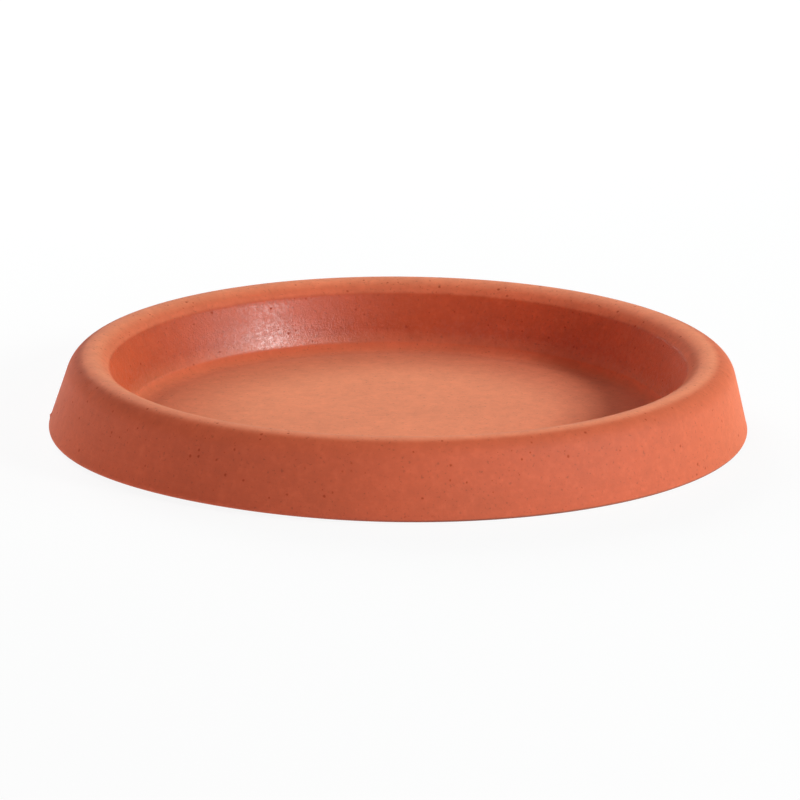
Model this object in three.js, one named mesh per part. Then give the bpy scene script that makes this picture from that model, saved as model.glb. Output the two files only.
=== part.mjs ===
// Terracotta plant-pot saucer: one piece of turned and fired clay, lying open side up.
// Millimetres, +Z up. The origin is the middle of the circle that the foot stands on.

import * as THREE from 'three';

// Overall sizes
const FOOT_DIAMETER = 250;
const HEIGHT = 27.5;

// The wall: its outer face leans in towards the lip and its inner face opens towards it
const OUTER_LEAN_DEGREES = 15.5;
const INNER_LEAN_DEGREES = 22;
const LIP_RADIUS = 9;
const FOOT_EDGE_RADIUS = 1.5;

// The basin: a flat floor that meets the wall in a small cove
const FLOOR_THICKNESS = 4;
const COVE_RADIUS = 3;

// The underside: the floor is lifted off the ground, and a tapered groove runs round
// under the wall, so that the clay is about as thick there as it is elsewhere
const FLOOR_CLEARANCE = 0.5;
const WALL_THICKNESS = 8;
const GROOVE_CROWN_RADIUS = 2.5;
const GROOVE_EDGE_RADIUS = 1;

// How finely the round shapes are cut into flat faces, and when two points are one
const SEGMENTS_ROUND_AXIS = 96;
const ARC_CHORD_ERROR = 0.04;
const SAME_POINT = 0.001;

// The clay
const CLAY_COLOUR = 0xcb7c58;
const CLAY_ROUGHNESS = 0.9;

// A straight face of the clay's section, in the half plane of radius and height.
// It runs along its direction with the clay on its left-hand side.
class Face {
  constructor(point, direction) {
    this.point = point;
    this.direction = direction;
  }

  // The parallel face that lies deeper in the clay by a distance
  inset(depth) {
    const intoClay = new THREE.Vector2(-this.direction.y, this.direction.x);
    return new Face(this.point.clone().addScaledVector(intoClay, depth), this.direction);
  }

  // The corner where this face and another one meet
  meet(other) {
    const between = other.point.clone().sub(this.point);
    const along = between.cross(other.direction) / this.direction.cross(other.direction);
    return this.point.clone().addScaledVector(this.direction, along);
  }
}

// A direction that leans towards the axis from straight up (rise 1) or straight down (rise -1)
function leaningInwards(degrees, rise) {
  const lean = THREE.MathUtils.degToRad(degrees);
  return new THREE.Vector2(-Math.sin(lean), rise * Math.cos(lean));
}

// The points of an arc that rounds the corner between two neighbours by a radius
function roundedCorner(before, corner, after, radius) {
  const arriving = corner.clone().sub(before).normalize();
  const leaving = after.clone().sub(corner).normalize();
  const turn = Math.atan2(arriving.cross(leaving), arriving.dot(leaving));
  const reach = radius * Math.tan(Math.abs(turn) / 2);
  const start = corner.clone().addScaledVector(arriving, -reach);
  const side = Math.sign(turn);
  const centre = start.clone().add(new THREE.Vector2(-arriving.y, arriving.x).multiplyScalar(side * radius));
  const stepLimit = 2 * Math.acos(1 - ARC_CHORD_ERROR / radius);
  const steps = Math.ceil(Math.abs(turn) / stepLimit);
  return Array.from({ length: steps + 1 }, (_, i) => start.clone().rotateAround(centre, turn * i / steps));
}

// The outline of the section from the axis back to the axis, anticlockwise round the clay
function sectionOutline() {
  const ground = new Face(new THREE.Vector2(0, 0), new THREE.Vector2(1, 0));
  const underside = ground.inset(FLOOR_CLEARANCE);
  const floor = underside.inset(FLOOR_THICKNESS);
  const top = ground.inset(HEIGHT);

  // The foot's rounded edge touches the widest radius, and the outer face leaves it above
  const widest = new Face(new THREE.Vector2(FOOT_DIAMETER / 2, 0), new THREE.Vector2(0, 1));
  const footEdgeCentre = widest.inset(FOOT_EDGE_RADIUS).meet(ground.inset(FOOT_EDGE_RADIUS));
  const outerWall = new Face(footEdgeCentre, leaningInwards(OUTER_LEAN_DEGREES, 1)).inset(-FOOT_EDGE_RADIUS);

  // The lip is a round bead under the top, and both faces of the wall run smoothly into it
  const lipCentre = outerWall.inset(LIP_RADIUS).meet(top.inset(-LIP_RADIUS));
  const innerWall = new Face(lipCentre, leaningInwards(INNER_LEAN_DEGREES, -1)).inset(-LIP_RADIUS);

  // The groove's sides follow the wall's faces
  const grooveOuter = outerWall.inset(WALL_THICKNESS);
  const grooveInner = innerWall.inset(WALL_THICKNESS);

  const corners = [
    { at: underside.point },
    { at: underside.meet(grooveInner), radius: GROOVE_EDGE_RADIUS },
    { at: grooveInner.meet(grooveOuter), radius: GROOVE_CROWN_RADIUS },
    { at: grooveOuter.meet(ground), radius: GROOVE_EDGE_RADIUS },
    { at: ground.meet(widest), radius: FOOT_EDGE_RADIUS },
    { at: widest.meet(outerWall), radius: FOOT_EDGE_RADIUS },
    { at: outerWall.meet(top), radius: LIP_RADIUS },
    { at: top.meet(innerWall), radius: LIP_RADIUS },
    { at: innerWall.meet(floor), radius: COVE_RADIUS },
    { at: floor.point },
  ];
  const outline = corners.flatMap(({ at, radius }, i) => (
    radius ? roundedCorner(corners[i - 1].at, at, corners[i + 1].at, radius) : [at]
  ));

  // Two arcs that run into each other share a point, which is kept once
  return outline.filter((point, i) => i === 0 || point.distanceTo(outline[i - 1]) > SAME_POINT);
}

// The section turned round the upright axis
function saucerBody() {
  const geometry = new THREE.LatheGeometry(sectionOutline(), SEGMENTS_ROUND_AXIS);
  geometry.rotateX(Math.PI / 2);
  const clay = new THREE.MeshStandardMaterial({
    color: CLAY_COLOUR,
    roughness: CLAY_ROUGHNESS,
    metalness: 0,
  });
  const body = new THREE.Mesh(geometry, clay);
  body.name = 'saucer_body';
  return body;
}

const saucer = new THREE.Group();
saucer.add(saucerBody());

export default saucer;
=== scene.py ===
"""A terracotta plant-pot saucer: one piece of turned and fired clay, on a pale studio floor.

Lengths are metres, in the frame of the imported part: +Z up, the origin at the middle of the foot.
The clay's material works in millimetres.
"""
import math

import bpy
import numpy as np
from mathutils import Matrix, Vector


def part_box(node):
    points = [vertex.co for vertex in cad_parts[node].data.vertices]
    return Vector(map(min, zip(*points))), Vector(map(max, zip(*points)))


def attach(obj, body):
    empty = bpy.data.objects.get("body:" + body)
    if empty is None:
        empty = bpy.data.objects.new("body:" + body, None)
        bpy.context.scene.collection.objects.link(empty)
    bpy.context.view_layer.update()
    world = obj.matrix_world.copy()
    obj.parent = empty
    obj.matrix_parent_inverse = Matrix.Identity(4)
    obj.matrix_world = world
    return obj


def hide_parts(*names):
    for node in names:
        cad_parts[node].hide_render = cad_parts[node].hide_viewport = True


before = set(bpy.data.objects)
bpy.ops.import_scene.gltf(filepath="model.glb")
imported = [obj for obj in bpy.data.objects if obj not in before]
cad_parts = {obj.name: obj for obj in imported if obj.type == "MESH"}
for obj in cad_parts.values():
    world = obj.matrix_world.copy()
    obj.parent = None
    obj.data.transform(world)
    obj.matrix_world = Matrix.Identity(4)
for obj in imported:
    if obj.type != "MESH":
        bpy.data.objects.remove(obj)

bl_info = {
    "name": "Terracotta Saucer",
    "version": (1, 0, 0),
    "blender": (4, 5, 0),
    "location": "3D View > Sidebar > Saucer",
    "description": "Makes a fired clay plant-pot saucer and the studio that it is shown in",
    "category": "Add Mesh",
}

MM = 0.001
NODE = "saucer_body"
CAD_LOW, CAD_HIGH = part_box(NODE)
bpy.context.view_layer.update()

# How finely the clay's surface is cut: columns round the axis, and rows along the section
COLUMNS = 600
WALL_ROW = 1.0 * MM
FLOOR_ROW = 2.4 * MM
HIDDEN_ROW = 8.0 * MM
ROWS_PER_RADIUS = 5
SAME_POINT = 0.01 * MM

# The slow waves round the axis that draw the wall in and that dip the lip: a steady share, and then
# each wave's share, how many times it goes round, and where it starts in radians
PULL_WAVES = (0.55, (0.3, 2, 0.7), (0.15, 3, 2.1))
DIP_WAVES = (0.5, (0.3, 2, 2.4), (0.2, 5, 0.4))

# Where the foot is off the ground and where it is drawn in: degrees round the axis from +X, and how wide
FOOT_RISE_TURN, FOOT_RISE_WIDTH = -126.0, 22.0
FOOT_PULL_TURN, FOOT_PULL_WIDTH = -80.0, 30.0

# How high these two reach, as a share of the height, and where they fade in on the underside and over
# what width, as shares of the foot's radius
FOOT_REACH = 0.5
FOOT_START, FOOT_FADE = 0.86, 0.06

# Where the shift of the lip fades in and over what width, in lip radii inside the foot's radius
SHIFT_START, SHIFT_FADE = 2.1, 1.8

# The hollow up the inner wall is share * (1 - share) ** 2, which is 4 / 27 at its deepest
HOLLOW_SCALE = 27 / 4

# Where the basin's floor starts to fall and over what width, as shares of the foot's radius
FALL_START, FALL_WIDTH = 0.40, 0.34

# Where the shallow gutter runs round the floor's edge, as a share of the foot's radius, and how wide it is
GUTTER_RADIUS = 0.725
GUTTER_WIDTH = 2.0 * MM

# The knocks in the lip's shoulder and the crumb on the foot: degrees round the axis, radius and height,
# length round the axis and width along the section, and how far each stands out, in mm
KNOCKS = (
    (191.0, 108.9, 27.2, 1.3, 0.6, -0.35),
    (196.0, 113.3, 27.2, 1.7, 0.6, -0.35),
    (199.0, 116.8, 25.3, 1.9, 0.7, -0.40),
    (203.0, 118.2, 23.8, 1.3, 0.9, -0.25),
    (181.0, 123.9, 4.5, 0.7, 0.6, 0.95),
)

# The clay's looks change in smooth steps, each between two places in millimetres. The wall and the floor
# start at heights over the basin's floor, and the inside ends at radii from the lip's inner edge, which
# lies this many lip radii inside the foot's radius
WALL_START = (1.3, 2.5)
FLOOR_START = (-1.5, -0.5)
INSIDE_END = (-7.0, -1.0)
LIP_INNER_EDGE = 1.6

# The other steps run between two heights above the ground
WALL_END = (22.8, 24.2)
LIP_CROWN = (25.0, 27.4)
WALL_DUST_END = (6.0, 12.0)
WALL_ROUGHER = (12.0, 19.0)
GLOSS_START, GLOSS_END = (6.0, 10.0), (10.0, 18.0)
FOOT_PAINTED_SHADE_END = (0.3, 1.5)

# And these between two radii
FLOOR_DUST_AND_SHADE_END = (48.0, 96.0)
LIP_DUST_END = (112.0, 115.5)

# Added to the square of the radius, which keeps it above nothing at the axis
NEVER_ZERO = 0.01

# The marks of turning and dragging are noise at a place: the unit vector away from the axis times a span,
# and the height times a pace, to which the marks of turning add the radius. A longer span makes shorter
# marks round the axis, and a slower pace makes longer ones up the wall
ROUND_MARK_SPAN, ROUND_MARK_PACE = 6.0, 1.7
DRAG_MARK_SPAN, DRAG_MARK_PACE = 160.0, 0.35

# How thickly pale dust lies, from 0 to 1, and how much painted shade darkens the foot's lower edge, where it
# meets the ground
LIP_DUST, CROWN_DUST, WALL_DUST, STRAY_DUST = 0.3, 0.45, 0.3, 0.15
FOOT_PAINTED_SHADE = 0.6

# How much each noise changes the clay's brightness, on top of a steady share, and then how much the marks
# change it, on top of a share of their own
STEADY_SHADE = 0.67
CLOUD_SHADE, MOTTLE_SHADE, PATCH_SHADE, GRAIN_SHADE = 0.22, 0.20, 0.10, 0.14
PALE_FLECK_SHADE, DARK_FLECK_SHADE = 0.04, 0.22
UNMARKED_SHADE, ROUND_MARK_SHADE, DRAG_MARK_SHADE = 0.97, 0.06, 0.10

# Between which levels of a noise the flecks and the speckles of gloss come up
PALE_FLECKS, DARK_FLECKS = (0.66, 0.78), (0.22, 0.36)
SPECKLES = (0.45, 0.62)

# How deep each thing is in the clay's fine relief, in millimetres
GRAIN_DEPTH, WALL_GRAIN_DEPTH = 0.06, 0.12
MOTTLE_DEPTH, WALL_PATCH_DEPTH = 0.06, 0.10
ROUND_MARK_DEPTH, DRAG_MARK_DEPTH = 0.05, 0.03
PIT_DEPTH = 0.04

# How much roughness the upper wall, the grain and the pits add, and how glossy the inner wall is: an even
# film and brighter speckles, weaker at its foot and towards its top
UPPER_WALL_ROUGHNESS, GRAIN_ROUGHNESS, PIT_ROUGHNESS = 0.1, 0.2, 0.3
GLOSS_FILM, GLOSS_SPECKLES = 0.15, 0.42
GLOSS_AT_FOOT, GLOSS_AT_TOP = 0.6, 0.4

# The softboxes all stand this far from the saucer. Each has the name of its power's setting, its azimuth
# anticlockwise from +X and its elevation in degrees, its side, its tint, and whether the gloss shows it
LAMP_DISTANCE = 1.6
LAMPS = (
    ("key", 330.0, 25.5, 0.3, (1.0, 1.0, 1.0), True),
    ("side", 350.0, 12.0, 0.7, (0.72, 1.0, 0.95), False),
    ("back", 108.0, 22.0, 0.8, (1.0, 1.0, 1.0), False),
    ("rim", 130.0, 28.0, 0.8, (1.0, 1.0, 1.0), False),
    ("fill", 243.0, 13.0, 0.9, (1.0, 0.78, 0.80), False),
    ("left", 180.0, 3.0, 0.2, (0.82, 1.0, 1.0), False),
)

# The camera, fitted to the photograph: how far it stands back, its tilt and roll in degrees, the point that
# it is set to, how far right and up of its axis that point lies, and its focal length in pixels
CAMERA_DISTANCE = 2.75
CAMERA_TILT, CAMERA_ROLL = 15.2615, -0.3794
CAMERA_POINT = (1.326 * MM, 0.0, 0.0)
POINT_RIGHT, POINT_UP = 0.652 * MM, -10.078 * MM
FOCAL_PIXELS, PICTURE_PIXELS = 7678.0, 800
SENSOR_WIDTH = 36.0

# The studio floor is square. It lies this far under the foot, so that no two faces share a plane, and the
# camera sees most of it as plain white
FLOOR_HALF = 10.0
FLOOR_GAP = 0.05 * MM
FLOOR_GREY = 0.9
FLOOR_PLAIN_SHARE = 0.9
WHITE = (1.0, 1.0, 1.0, 1.0)


def length(name, default, description):
    """A size in metres, as a property that the sidebar shows."""
    return bpy.props.FloatProperty(
        name=name,
        description=description,
        default=default,
        min=0.0,
        precision=5,
        subtype="DISTANCE",
        unit="LENGTH",
    )


def angle(name, degrees, description):
    """An angle, as a property that the sidebar shows in degrees."""
    return bpy.props.FloatProperty(
        name=name, description=description, default=math.radians(degrees), subtype="ANGLE", unit="ROTATION"
    )


def colour(name, default, description):
    """A linear colour, as a property that the sidebar shows as a swatch."""
    return bpy.props.FloatVectorProperty(
        name=name, description=description, default=default, size=3, min=0.0, max=1.0, subtype="COLOR"
    )


def amount(name, default, description, top=1.0):
    """A plain number, as a property that the sidebar shows."""
    return bpy.props.FloatProperty(name=name, description=description, default=default, min=0.0, max=top)


def power(name, watts, description):
    """A lamp's power in watts, as a property that the sidebar shows."""
    return bpy.props.FloatProperty(name=name, description=description, default=watts, min=0.0, unit="POWER")


class SaucerSizes(bpy.types.PropertyGroup):
    """The sizes of the saucer's section, and how far the firing has pulled it out of true."""

    foot_diameter: length("Foot Diameter", CAD_HIGH.x - CAD_LOW.x, "Width over the foot, the widest part")
    height: length("Height", CAD_HIGH.z - CAD_LOW.z, "From the ground to the top of the lip")
    outer_lean: angle("Outer Lean", 15.5, "How far the outer face leans in from upright")
    inner_lean: angle("Inner Lean", 22.0, "How far the inner face leans from upright")
    lip_radius: length("Lip Radius", 9.0 * MM, "Radius of the round bead along the lip")
    foot_edge_radius: length("Foot Edge Radius", 1.5 * MM, "Rounding of the foot's outer edge")
    floor_thickness: length("Floor Thickness", 4.0 * MM, "Thickness of the clay under the basin")
    floor_clearance: length("Floor Clearance", 0.5 * MM, "How far the underside is off the ground")
    cove_radius: length("Cove Radius", 3.0 * MM, "Rounding between the basin's floor and its wall")
    wall_thickness: length("Wall Thickness", 8.0 * MM, "Thickness of the clay on both sides of the groove")
    groove_crown_radius: length("Groove Crown Radius", 2.5 * MM, "Rounding at the top of the groove")
    groove_edge_radius: length("Groove Edge Radius", 1.0 * MM, "Rounding at the mouth of the groove")
    lip_shift: length("Lip Shift", 1.33 * MM, "How far the lip stands to the right of the foot's middle")
    lip_wave: length("Lip Wave", 0.25 * MM, "How far the lip dips below its highest point")
    pull_in: length("Pull In", 0.35 * MM, "How far the wall is drawn in where it is out of round")
    wall_hollow: length("Wall Hollow", 0.3 * MM, "How far the inner wall is hollowed out above its foot")
    floor_fall: length("Floor Fall", 0.6 * MM, "How far the basin's floor falls from its middle to its edge")
    gutter: length("Gutter", 0.35 * MM, "How deep the shallow gutter round the floor's edge is")
    foot_rise: length("Foot Rise", 1.2 * MM, "How far the foot is off the ground at the front left")
    foot_pull: length("Foot Pull", 1.8 * MM, "How far the foot is drawn in at the front")


class SaucerColours(bpy.types.PropertyGroup):
    """The clay's colours, and how strongly its surface is marked."""

    clay: colour("Clay", (0.62, 0.122, 0.047), "Fired clay of the outer face")
    wall: colour("Inner Wall", (0.56, 0.088, 0.026), "Redder, smoothed clay of the inner wall")
    # The floor edge's darker colour is partly painted shade, where the inner wall shades the floor
    edge: colour("Floor Edge", (0.71, 0.165, 0.070), "Darker clay round the edge of the basin's floor")
    dust: colour("Dust", (0.89, 0.298, 0.149), "Pale clay dust on the basin's floor and along the lip")
    # The pit colour is painted shade inside the pits
    pit: colour("Pit", (0.35, 0.030, 0.006), "The dark inside of a pit in the clay")
    smooth: amount("Inner Wall Roughness", 0.38, "How rough the smoothed inner wall is")
    rough: amount("Outer Roughness", 0.74, "How rough the outer face and the lip are")
    matt: amount("Floor Roughness", 0.95, "How rough the basin's floor is")
    # How strongly the painted shade in the pits shows
    pits: amount("Pits", 0.65, "How dark the pits are")
    marks: amount("Turning Marks", 1.0, "How deep the turning marks are", 3.0)


class StudioSettings(bpy.types.PropertyGroup):
    """The power of each softbox in watts, and the light of the white surroundings."""

    key: power("Key Light", 15.3, "Lamp at the right front, whose gleam shows on the inner wall")
    side: power("Side Light", 21.0, "Low lamp at the right")
    back: power("Back Light", 24.0, "Low lamp behind, which lights the lip and the floor")
    rim: power("Rim Light", 9.0, "Lamp behind at the left, which lights the lip")
    fill: power("Fill Light", 8.7, "Lamp at the left front")
    left: power("Left Light", 6.4, "Small low lamp at the left")
    surroundings: amount("Surroundings", 0.0, "Light from the white room", 5.0)
    reflected: amount("Reflected Room", 0.17, "How white the room looks in the clay's gloss")


# The section of the clay


class Face:
    """A straight face of the section, in the half plane of radius and height, with the clay on its left."""

    def __init__(self, point, direction):
        self.point = np.array(point, float)
        self.direction = np.array(direction, float)

    def inset(self, depth):
        """The parallel face that lies deeper in the clay by a distance."""
        into_clay = np.array([-self.direction[1], self.direction[0]])
        return Face(self.point + into_clay * depth, self.direction)

    def meet(self, other):
        """The corner where this face and another one meet."""
        steps = np.column_stack([self.direction, -other.direction])
        along = np.linalg.solve(steps, other.point - self.point)[0]
        return self.point + self.direction * along


def section_corners(sizes):
    """The corners of the section from the axis back to the axis, anticlockwise round the clay.

    Each is its sharp point, the radius that rounds it, and the row spacing of the face that comes after it.
    The lip's bead touches the level of the top, and both faces of the wall run smoothly into it.
    """
    ground = Face((0, 0), (1, 0))
    underside = ground.inset(sizes.floor_clearance)
    floor = underside.inset(sizes.floor_thickness)
    top = ground.inset(sizes.height)
    widest = Face((sizes.foot_diameter / 2, 0), (0, 1))
    foot = sizes.foot_edge_radius
    foot_centre = widest.inset(foot).meet(ground.inset(foot))
    outer = Face(foot_centre, (-math.sin(sizes.outer_lean), math.cos(sizes.outer_lean))).inset(-foot)
    lip = sizes.lip_radius
    lip_centre = outer.inset(lip).meet(top.inset(-lip))
    inner = Face(lip_centre, (-math.sin(sizes.inner_lean), -math.cos(sizes.inner_lean))).inset(-lip)
    groove_outer = outer.inset(sizes.wall_thickness)
    groove_inner = inner.inset(sizes.wall_thickness)
    edge, crown = sizes.groove_edge_radius, sizes.groove_crown_radius
    return [
        (underside.point, 0, HIDDEN_ROW),
        (underside.meet(groove_inner), edge, HIDDEN_ROW / 2),
        (groove_inner.meet(groove_outer), crown, HIDDEN_ROW / 2),
        (groove_outer.meet(ground), edge, HIDDEN_ROW / 2),
        (ground.meet(widest), foot, HIDDEN_ROW),
        (widest.meet(outer), foot, WALL_ROW),
        (outer.meet(top), lip, WALL_ROW),
        (top.meet(inner), lip, WALL_ROW),
        (inner.meet(floor), sizes.cove_radius, FLOOR_ROW),
        (floor.point, 0, FLOOR_ROW),
    ]


def straight(start, end, spacing):
    """Points from a start up to, and not including, an end, evenly spread and at most a spacing apart."""
    count = max(1, math.ceil(np.linalg.norm(end - start) / spacing))
    return start + (end - start) * (np.arange(count) / count)[:, None]


def rounded(before, corner, after, radius, spacing):
    """The arc that rounds a corner: the centre plus the start's offset from it, turned by even steps."""
    arriving = (corner - before) / np.linalg.norm(corner - before)
    leaving = (after - corner) / np.linalg.norm(after - corner)
    turn = math.atan2(arriving[0] * leaving[1] - arriving[1] * leaving[0], float(arriving @ leaving))
    start = corner - arriving * radius * math.tan(abs(turn) / 2)
    centre = start + np.array([-arriving[1], arriving[0]]) * math.copysign(radius, turn)
    step = min(spacing, radius / ROWS_PER_RADIUS)
    turns = np.linspace(0, turn, math.ceil(radius * abs(turn) / step) + 1)
    across, up = start - centre
    x = across * np.cos(turns) - up * np.sin(turns)
    y = across * np.sin(turns) + up * np.cos(turns)
    return centre + np.column_stack([x, y])


def section(sizes):
    """The outline as rows of (radius, height), from the axis along the underside and back over the top."""
    corners = section_corners(sizes)
    rows = [corners[0][0][None]]
    for (before, _, spacing), (corner, radius, _), (after, _, _) in zip(corners, corners[1:], corners[2:]):
        bend = rounded(before, corner, after, radius, WALL_ROW)
        rows += [straight(rows[-1][-1], bend[0], spacing)[1:], bend]
    rows += [straight(rows[-1][-1], corners[-1][0], corners[-2][2])[1:], corners[-1][0][None]]
    outline = np.concatenate(rows)
    apart = np.linalg.norm(np.diff(outline, axis=0), axis=1) > SAME_POINT
    return outline[np.concatenate([[True], apart])]


# The surface of the clay


def bell(distance, width):
    """A smooth hump: 1 at no distance, exp(-1/2) at one width."""
    return np.exp(-0.5 * (distance / width) ** 2)


def smooth(share):
    """A smooth step, level at both ends: 0 up to a share of 0, and 1 from a share of 1."""
    share = np.clip(share, 0, 1)
    return share ** 2 * (3 - 2 * share)


def waves(turn, steady, *shares):
    """A steady share plus sine waves round the axis, 1 at most."""
    return steady + sum(share * np.sin(count * turn + start) for share, count, start in shares)


def angle_from(turn, degrees):
    """How far a turn lies from an angle given in degrees, the short way round."""
    return (turn - math.radians(degrees) + math.pi) % (2 * math.pi) - math.pi


def outward(outline):
    """The unit direction out of the clay at each row: the section's direction turned a quarter clockwise."""
    along = np.gradient(outline, axis=0)
    out = np.column_stack([along[:, 1], -along[:, 0]])
    return out / np.linalg.norm(out, axis=1)[:, None]


def knocks(turn, radius, height):
    """How far the surface stands out where it was knocked (below 0) or where a crumb of clay stuck to it.

    Each is a bell of the way round the axis times a bell of the way along the section.
    """
    return sum(
        depth * MM
        * bell(angle_from(turn, degrees) * radius, long * MM)
        * bell(np.hypot(radius - out * MM, height - up * MM), high * MM)
        for degrees, out, up, long, high, depth in KNOCKS
    )


def basin_moves(sizes, radius, height):
    """How far the inner wall is hollowed out, and how far the basin's floor lies lower.

    The hollow is deepest at a third of the wall's height. The floor falls by a smooth step towards its edge,
    and the gutter is a bell there.
    """
    foot_radius = sizes.foot_diameter / 2
    floor_top = sizes.floor_clearance + sizes.floor_thickness
    up_wall = np.clip((height - floor_top) / (sizes.height - sizes.lip_radius - floor_top), 0, 1)
    hollow = sizes.wall_hollow * HOLLOW_SCALE * up_wall * (1 - up_wall) ** 2
    fall = sizes.floor_fall * smooth((radius / foot_radius - FALL_START) / FALL_WIDTH)
    gutter = sizes.gutter * bell(radius - GUTTER_RADIUS * foot_radius, GUTTER_WIDTH)
    return hollow, (fall + gutter) * (1 - up_wall)


def foot_moves(sizes, turn, radius, height):
    """How far the foot is off the ground, and how far it is drawn in.

    Each is a bell round the axis that fades out up the outer face and in along the underside.
    """
    near_foot = np.clip(1 - height / (FOOT_REACH * sizes.height), 0, 1) ** 2
    near_foot = near_foot * np.clip((radius / (sizes.foot_diameter / 2) - FOOT_START) / FOOT_FADE, 0, 1)
    rise = sizes.foot_rise * bell(angle_from(turn, FOOT_RISE_TURN), math.radians(FOOT_RISE_WIDTH))
    pull = sizes.foot_pull * bell(angle_from(turn, FOOT_PULL_TURN), math.radians(FOOT_PULL_WIDTH))
    return rise * near_foot, pull * near_foot


def lip_shift(sizes, radius, height):
    """How far the outer face and the lip stand to the right: it grows up the face, and in over the lip."""
    foot_top = 2 * sizes.foot_edge_radius
    lean = np.clip((height - foot_top) / (sizes.height - foot_top), 0, 1)
    start = sizes.foot_diameter / 2 - SHIFT_START * sizes.lip_radius
    return sizes.lip_shift * lean * smooth((radius - start) / (SHIFT_FADE * sizes.lip_radius))


def clay_surface(sizes):
    """The clay as a grid of points, rows along the section and columns round the axis.

    A point is (radius * cos(turn), radius * sin(turn), height) of the section's row, then moved as the
    making and the firing moved it. Waves that grow with the height draw the wall in and dip the lip, a
    knock or a crumb moves the point along its outward direction, the inner wall is hollowed, the basin's
    floor falls, the foot rises and is drawn in, and the outer face and the lip are shifted along X.
    """
    outline = section(sizes)
    turn = np.arange(COLUMNS) * (2 * math.pi / COLUMNS)
    radius, height = (column[:, None] for column in outline.T)
    out, up = (column[:, None] for column in outward(outline).T)
    in_basin = (np.arange(len(outline)) > np.argmax(outline[:, 1]))[:, None]

    near_wall = np.clip(radius / (sizes.foot_diameter / 2), 0, 1) ** 4
    lift = np.clip(height / sizes.height, 0, 1)
    pull = sizes.pull_in * waves(turn, *PULL_WAVES) * lift * near_wall
    dip = sizes.lip_wave * waves(turn, *DIP_WAVES) * lift ** 2 * near_wall
    knock = knocks(turn, radius, height)
    hollow, fall = basin_moves(sizes, radius, height)
    foot_rise, foot_pull = foot_moves(sizes, turn, radius, height)

    moved = radius - pull + knock * out + hollow * in_basin - foot_pull * (1 - in_basin)
    x = moved * np.cos(turn) + lip_shift(sizes, radius, height)
    y = moved * np.sin(turn)
    z = height - dip + knock * up - fall * in_basin + foot_rise * (1 - in_basin)
    return np.stack([x, y, z], axis=-1)


def closed_mesh(name, grid):
    """A closed mesh from a grid of rows whose first and last rows lie at the poles.

    Between two rows the faces are quads that wrap round; at each pole they are a fan to one point.
    """
    rows, columns = grid.shape[0] - 2, grid.shape[1]
    points = np.concatenate([grid[1:-1].reshape(-1, 3), grid[0, :1], grid[-1, :1]])
    index = np.arange(rows * columns).reshape(rows, columns)
    after = np.roll(index, -1, axis=1)
    quads = np.stack([index[:-1], after[:-1], after[1:], index[1:]], axis=-1).reshape(-1, 4)
    first, last = rows * columns, rows * columns + 1
    start_fan = np.stack([after[0], index[0], np.full(columns, first)], axis=-1)
    end_fan = np.stack([index[-1], after[-1], np.full(columns, last)], axis=-1)
    mesh = bpy.data.meshes.new(name)
    mesh.from_pydata(points, [], [*quads.tolist(), *start_fan.tolist(), *end_fan.tolist()])
    mesh.shade_smooth()
    mesh.validate()
    piece = bpy.data.objects.new(name, mesh)
    bpy.context.scene.collection.objects.link(piece)
    return piece


# Materials


class Wire:
    """An output socket with arithmetic: an expression on numbers adds its Math nodes."""

    def __init__(self, bench, socket):
        self.bench = bench
        self.socket = socket

    def maths(self, operation, *values):
        """A Math node on these numbers or wires."""
        return self.bench.add("ShaderNodeMath", {"operation": operation}, values)

    def __add__(self, other):
        return self.maths("ADD", self, other)

    def __sub__(self, other):
        return self.maths("SUBTRACT", self, other)

    def __rsub__(self, other):
        return self.maths("SUBTRACT", other, self)

    def __mul__(self, other):
        return self.maths("MULTIPLY", self, other)

    def __truediv__(self, other):
        return self.maths("DIVIDE", self, other)

    def __pow__(self, other):
        return self.maths("POWER", self, other)

    __radd__ = __add__
    __rmul__ = __mul__


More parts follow.
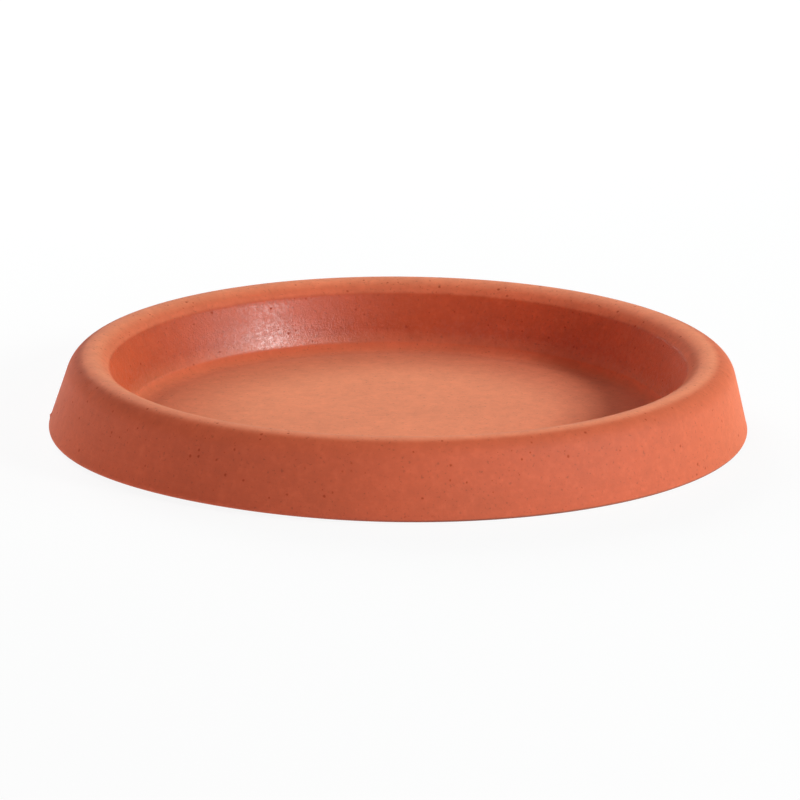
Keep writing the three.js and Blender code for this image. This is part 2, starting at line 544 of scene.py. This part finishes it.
class Bench:
    """The node tree of one material or world, emptied, to which nodes are added."""

    def __init__(self, owner):
        owner.use_nodes = True
        self.tree = owner.node_tree
        self.tree.nodes.clear()

    def add(self, kind, settings=None, inputs=(), output=0):
        """Adds a node, makes its settings, then fills its sockets, and returns one of its outputs."""
        node = self.tree.nodes.new(kind)
        for name, value in (settings or {}).items():
            setattr(node, name, value)
        for key, value in inputs.items() if isinstance(inputs, dict) else enumerate(inputs):
            if isinstance(value, Wire):
                self.tree.links.new(value.socket, node.inputs[key])
            else:
                node.inputs[key].default_value = value
        return Wire(self, node.outputs[output]) if node.outputs else None

    def blend(self, factor, first, second):
        """A mix of two colours: the first at factor 0, the second at factor 1."""
        ends = [wire if isinstance(wire, Wire) else (*wire, 1.0) for wire in (first, second)]
        return self.add("ShaderNodeMix", {"data_type": "RGBA"}, {0: factor, 6: ends[0], 7: ends[1]}, 2)

    def scaled(self, vector, factor):
        """A colour or a place times a factor."""
        return self.add("ShaderNodeVectorMath", {"operation": "SCALE"}, {0: vector, "Scale": factor})

    def ramp(self, value, start, end):
        """A smooth step from 0 at the start to 1 at the end."""
        settings = {"interpolation_type": "SMOOTHSTEP"}
        return self.add("ShaderNodeMapRange", settings, {"Value": value, "From Min": start, "From Max": end})

    def fade(self, value, start, end):
        """A smooth step from 1 at the start to 0 at the end."""
        return 1.0 - self.ramp(value, start, end)

    def noise(self, place, size, detail=2.0, roughness=0.5):
        """Cloudy noise about 0.5, whose largest features are about a size across."""
        sockets = {"Vector": place, "Scale": 1 / size, "Detail": detail, "Roughness": roughness}
        return self.add("ShaderNodeTexNoise", {}, sockets)

    def spots(self, place, spacing, smallest, largest, core=0.3):
        """Round spots, most of them near the smallest radius: 1 in a spot's core and 0 outside the spot.

        The core is a share of the spot's radius.
        """
        sockets = {"Vector": place, "Scale": 1 / spacing}
        away = self.add("ShaderNodeTexVoronoi", {}, sockets) * spacing
        chance = self.add("ShaderNodeTexVoronoi", {}, sockets, "Color")
        chance = self.add("ShaderNodeSeparateColor", {}, [chance])
        radius = (chance ** 3.0) * (largest - smallest) + smallest
        return self.fade(away / radius, core, 1.0)

    def place(self, x, y, z):
        """A place from three numbers."""
        return self.add("ShaderNodeCombineXYZ", {}, [x, y, z])

    def numbers(self, place):
        """The three numbers of a place."""
        node = self.add("ShaderNodeSeparateXYZ", {}, [place]).socket.node
        return [Wire(self, socket) for socket in node.outputs]


def clay_material(sizes, colours):
    """Matt fired clay: pale and dusty on the basin's floor, redder and faintly glossy on the inner wall.

    Pits, grain and turning marks are worked out from the place in millimetres, and from the radius,
    the height and the unit vector away from the axis, so they follow the turning and have no seam.
    """
    material = bpy.data.materials.new("fired_clay")
    bench = Bench(material)
    in_mm = bench.scaled(bench.add("ShaderNodeTexCoord", {}, output="Object"), 1 / MM)
    x, y, z = bench.numbers(in_mm)
    radius = (x * x + y * y + NEVER_ZERO) ** 0.5
    east, north = x / radius, y / radius

    # Where the basin's floor, the inner wall and the lip are
    floor_top = (sizes.floor_clearance + sizes.floor_thickness) / MM
    lip_inside = (sizes.foot_diameter / 2 - LIP_INNER_EDGE * sizes.lip_radius) / MM
    off_floor = bench.ramp(z, *(floor_top + step for step in WALL_START))
    on_floor = bench.ramp(z, *(floor_top + step for step in FLOOR_START))
    inside = bench.fade(radius, *(lip_inside + step for step in INSIDE_END))
    on_lip = bench.ramp(z, *WALL_END)
    floor = inside * on_floor * (1.0 - off_floor)
    wall = inside * off_floor * (1.0 - on_lip)

    # Clouds, mottling and grain in the clay, and marks that run round the axis or up the wall
    clouds = bench.noise(in_mm, size=38.0, detail=3.0)
    mottle = bench.noise(in_mm, size=5.0, detail=3.0, roughness=0.6)
    patches = bench.noise(in_mm, size=2.2)
    sparkle = bench.noise(in_mm, size=1.3, roughness=0.6)
    specks = bench.noise(in_mm, size=1.1, detail=1.0)
    grain = bench.noise(in_mm, size=0.8, detail=3.0, roughness=0.75)
    round_up = radius + z * ROUND_MARK_PACE
    round_place = bench.place(east * ROUND_MARK_SPAN, north * ROUND_MARK_SPAN, round_up)
    round_marks = bench.noise(round_place, size=1.8, roughness=0.6)
    drag_place = bench.place(east * DRAG_MARK_SPAN, north * DRAG_MARK_SPAN, z * DRAG_MARK_PACE)
    drag_marks = bench.noise(drag_place, size=2.2, roughness=0.55)

    # Pits, which the floor's dust fills, with crooked edges. Off the floor, their darker colour is painted
    # shade in the hollows
    stirred = bench.add("ShaderNodeTexNoise", {}, {"Vector": in_mm, "Scale": 1.1}, "Color")
    crooked = bench.add("ShaderNodeVectorMath", {"operation": "ADD"}, [in_mm, bench.scaled(stirred, 0.7)])
    pits = bench.spots(crooked, spacing=3.1, smallest=0.2, largest=0.8)
    open_pits = pits * (1.0 - floor)

    # Colour: dust lies in the middle of the floor, along the lip and low on the wall. Towards the wall the
    # floor turns to the darker edge colour, which is partly less dust and partly painted shade along the
    # foot of the inner wall
    floor_dust_and_shade = floor * bench.fade(radius, *FLOOR_DUST_AND_SHADE_END)
    lip_dust = on_lip * LIP_DUST + bench.ramp(z, *LIP_CROWN) * CROWN_DUST
    lip_dust = lip_dust * bench.fade(radius, *LIP_DUST_END)
    wall_dust = wall * bench.fade(z, *WALL_DUST_END) * WALL_DUST
    dusty = floor_dust_and_shade + lip_dust + wall_dust + (patches + mottle - 1.0) * STRAY_DUST
    tint = bench.blend(wall, colours.clay, colours.wall)
    tint = bench.blend(floor, tint, colours.edge)
    tint = bench.blend(dusty, tint, colours.dust)
    flecks = bench.ramp(specks, *PALE_FLECKS) * PALE_FLECK_SHADE
    flecks = flecks - bench.fade(specks, *DARK_FLECKS) * DARK_FLECK_SHADE
    shade = clouds * CLOUD_SHADE + mottle * MOTTLE_SHADE + patches * PATCH_SHADE + grain * GRAIN_SHADE
    # Painted shade: the foot's lower edge is darkened where it meets the ground
    foot_painted_shade = bench.fade(z, *FOOT_PAINTED_SHADE_END) * FOOT_PAINTED_SHADE
    tint = bench.scaled(tint, (shade + flecks + STEADY_SHADE) * (1.0 - foot_painted_shade))
    marks = round_marks * ROUND_MARK_SHADE + (drag_marks - 0.5) * wall * DRAG_MARK_SHADE
    tint = bench.scaled(tint, marks + UNMARKED_SHADE)
    # Painted shade: the open pits are darkened towards the pit colour
    tint = bench.blend(open_pits * colours.pits, tint, colours.pit)

    # Relief, roughness, and a thin gloss in speckles along the lower half of the inner wall
    relief = (
        grain * (GRAIN_DEPTH + wall * WALL_GRAIN_DEPTH)
        + mottle * MOTTLE_DEPTH
        + patches * wall * WALL_PATCH_DEPTH
        + (round_marks - 0.5) * (ROUND_MARK_DEPTH * colours.marks)
        + (drag_marks - 0.5) * wall * (DRAG_MARK_DEPTH * colours.marks)
        - open_pits * PIT_DEPTH
    )
    bump = bench.add("ShaderNodeBump", {}, {"Strength": 1.0, "Distance": MM, "Height": relief}, "Normal")
    rough = colours.rough + wall * (colours.smooth - colours.rough) + floor * (colours.matt - colours.rough)
    rough = rough + wall * bench.ramp(z, *WALL_ROUGHER) * UPPER_WALL_ROUGHNESS
    rough = rough + (grain - 0.5) * GRAIN_ROUGHNESS + open_pits * PIT_ROUGHNESS
    gloss = bench.ramp(sparkle, *SPECKLES) * GLOSS_SPECKLES + GLOSS_FILM
    gloss = gloss * (bench.ramp(z, *GLOSS_START) * (1 - GLOSS_AT_FOOT) + GLOSS_AT_FOOT)
    gloss = gloss * (bench.fade(z, *GLOSS_END) * (1 - GLOSS_AT_TOP) + GLOSS_AT_TOP)
    shader = bench.add(
        "ShaderNodeBsdfPrincipled",
        {},
        {
            "Base Color": tint,
            "Roughness": rough,
            "Diffuse Roughness": 1.0,
            "IOR": 1.6,
            "Coat Weight": wall * gloss * (1.0 - pits),
            "Coat Roughness": 0.28,
            "Sheen Weight": 0.06,
            "Sheen Roughness": 0.5,
            "Sheen Tint": (1.0, 0.8, 0.7, 1.0),
            "Normal": bump,
        },
    )
    bench.add("ShaderNodeOutputMaterial", {}, {"Surface": shader})
    return material


def floor_material():
    """A pale floor that keeps the shadow: the camera and the clay's gloss see most of it as plain white."""
    material = bpy.data.materials.new("studio_floor")
    bench = Bench(material)
    shaded = bench.add("ShaderNodeBsdfDiffuse", {}, {"Color": (FLOOR_GREY, FLOOR_GREY, FLOOR_GREY, 1.0)})
    white = bench.add("ShaderNodeEmission", {}, {"Color": WHITE, "Strength": 1.0})
    camera = bench.add("ShaderNodeLightPath", {}, output="Is Camera Ray")
    glossy = bench.add("ShaderNodeLightPath", {}, output="Is Glossy Ray")
    surface = bench.add("ShaderNodeMixShader", {}, [(camera + glossy) * FLOOR_PLAIN_SHARE, shaded, white])
    bench.add("ShaderNodeOutputMaterial", {}, {"Surface": surface})
    return material


# The studio


def studio_floor():
    """The flat floor under the saucer."""
    low = -FLOOR_GAP
    corners = [(-1, -1), (1, -1), (1, 1), (-1, 1)]
    mesh = bpy.data.meshes.new("studio_floor")
    mesh.from_pydata([(x * FLOOR_HALF, y * FLOOR_HALF, low) for x, y in corners], [], [(0, 1, 2, 3)])
    mesh.materials.append(floor_material())
    floor = bpy.data.objects.new("studio_floor", mesh)
    bpy.context.scene.collection.objects.link(floor)


def white_room(strength, reflected):
    """A world that looks white to the camera and, in part, to the clay's gloss."""
    world = bpy.data.worlds.new("white_room")
    bpy.context.scene.world = world
    bench = Bench(world)
    room = bench.add("ShaderNodeBackground", {}, {"Color": WHITE, "Strength": strength})
    white = bench.add("ShaderNodeBackground", {}, {"Color": WHITE, "Strength": 1.0})
    camera = bench.add("ShaderNodeLightPath", {}, output="Is Camera Ray")
    glossy = bench.add("ShaderNodeLightPath", {}, output="Is Glossy Ray")
    surface = bench.add("ShaderNodeMixShader", {}, [camera + glossy * reflected, room, white])
    bench.add("ShaderNodeOutputWorld", {}, {"Surface": surface})


def softbox(name, azimuth, elevation, side, watts, tint, gleams):
    """A square lamp that faces the saucer from an azimuth and an elevation in degrees.

    One that doesn't gleam lights the clay and leaves no reflection on it.
    """
    turn, rise = math.radians(azimuth), math.radians(elevation)
    toward = Vector((math.cos(turn) * math.cos(rise), math.sin(turn) * math.cos(rise), math.sin(rise)))
    lamp = bpy.data.lights.new(name, "AREA")
    lamp.shape = "SQUARE"
    lamp.size = side
    lamp.energy = watts
    lamp.color = tint
    holder = bpy.data.objects.new(name, lamp)
    holder.location = toward * LAMP_DISTANCE
    holder.rotation_euler = toward.to_track_quat("Z", "Y").to_euler()
    holder.visible_camera = False
    holder.visible_glossy = gleams
    bpy.context.scene.collection.objects.link(holder)


def studio_camera():
    """A long lens at the photograph's angle.

    The rows of its axes are right, up and back, tilted and then rolled. It stands at the point that it is
    set to, less those axes times the place at which it sees that point.
    """
    tilt, roll = math.radians(CAMERA_TILT), math.radians(CAMERA_ROLL)
    right = np.array([1.0, 0.0, 0.0])
    back = np.array([0.0, -math.cos(tilt), math.sin(tilt)])
    rolled = np.array([[math.cos(roll), -math.sin(roll), 0], [math.sin(roll), math.cos(roll), 0], [0, 0, 1]])
    axes = rolled @ np.array([right, np.cross(back, right), back])
    seen_at = np.array([POINT_RIGHT, POINT_UP, -CAMERA_DISTANCE])
    place = np.eye(4)
    place[:3, :3] = axes.T
    place[:3, 3] = np.array(CAMERA_POINT) - axes.T @ seen_at
    data = bpy.data.cameras.new("studio_camera")
    data.sensor_fit = "HORIZONTAL"
    data.sensor_width = SENSOR_WIDTH
    data.lens = SENSOR_WIDTH * FOCAL_PIXELS / PICTURE_PIXELS
    camera = bpy.data.objects.new("studio_camera", data)
    camera.matrix_world = Matrix(place.tolist())
    bpy.context.scene.collection.objects.link(camera)
    bpy.context.scene.camera = camera


# The add-on


class SAUCER_OT_make_clay(bpy.types.Operator):
    """Make the saucer's clay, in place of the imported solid"""

    bl_idname = "saucer.make_clay"
    bl_label = "Make Clay Saucer"

    def execute(self, context):
        sizes, colours = context.scene.saucer_sizes, context.scene.saucer_colours
        piece = closed_mesh("saucer_clay", clay_surface(sizes))
        piece.data.materials.append(clay_material(sizes, colours))
        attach(piece, "root")
        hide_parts(NODE)
        return {"FINISHED"}


class SAUCER_OT_make_studio(bpy.types.Operator):
    """Make the pale floor, the soft lamps, the white room and the camera"""

    bl_idname = "saucer.make_studio"
    bl_label = "Make Studio"

    def execute(self, context):
        studio = context.scene.saucer_studio
        studio_floor()
        white_room(studio.surroundings, studio.reflected)
        for name, azimuth, elevation, side, tint, gleams in LAMPS:
            softbox(f"{name}_light", azimuth, elevation, side, getattr(studio, name), tint, gleams)
        studio_camera()
        context.scene.view_settings.view_transform = "Standard"
        return {"FINISHED"}


class SAUCER_PT_sidebar(bpy.types.Panel):
    """The saucer's sizes, colours and studio"""

    bl_label = "Terracotta Saucer"
    bl_idname = "SAUCER_PT_sidebar"
    bl_space_type = "VIEW_3D"
    bl_region_type = "UI"
    bl_category = "Saucer"

    def draw(self, context):
        for group in (context.scene.saucer_sizes, context.scene.saucer_colours, context.scene.saucer_studio):
            box = self.layout.box()
            for name in group.__annotations__:
                box.prop(group, name)
        self.layout.operator(SAUCER_OT_make_clay.bl_idname)
        self.layout.operator(SAUCER_OT_make_studio.bl_idname)


CLASSES = (
    SaucerSizes,
    SaucerColours,
    StudioSettings,
    SAUCER_OT_make_clay,
    SAUCER_OT_make_studio,
    SAUCER_PT_sidebar,
)


def register():
    """Registers the classes and hangs their settings on the scene."""
    for each in CLASSES:
        bpy.utils.register_class(each)
    bpy.types.Scene.saucer_sizes = bpy.props.PointerProperty(type=SaucerSizes)
    bpy.types.Scene.saucer_colours = bpy.props.PointerProperty(type=SaucerColours)
    bpy.types.Scene.saucer_studio = bpy.props.PointerProperty(type=StudioSettings)


def unregister():
    """Takes the settings and the classes away again."""
    del bpy.types.Scene.saucer_studio
    del bpy.types.Scene.saucer_colours
    del bpy.types.Scene.saucer_sizes
    for each in reversed(CLASSES):
        bpy.utils.unregister_class(each)


def main():
    """Makes the saucer and its studio."""
    register()
    bpy.ops.saucer.make_clay()
    bpy.ops.saucer.make_studio()


if __name__ == "__main__":
    main()
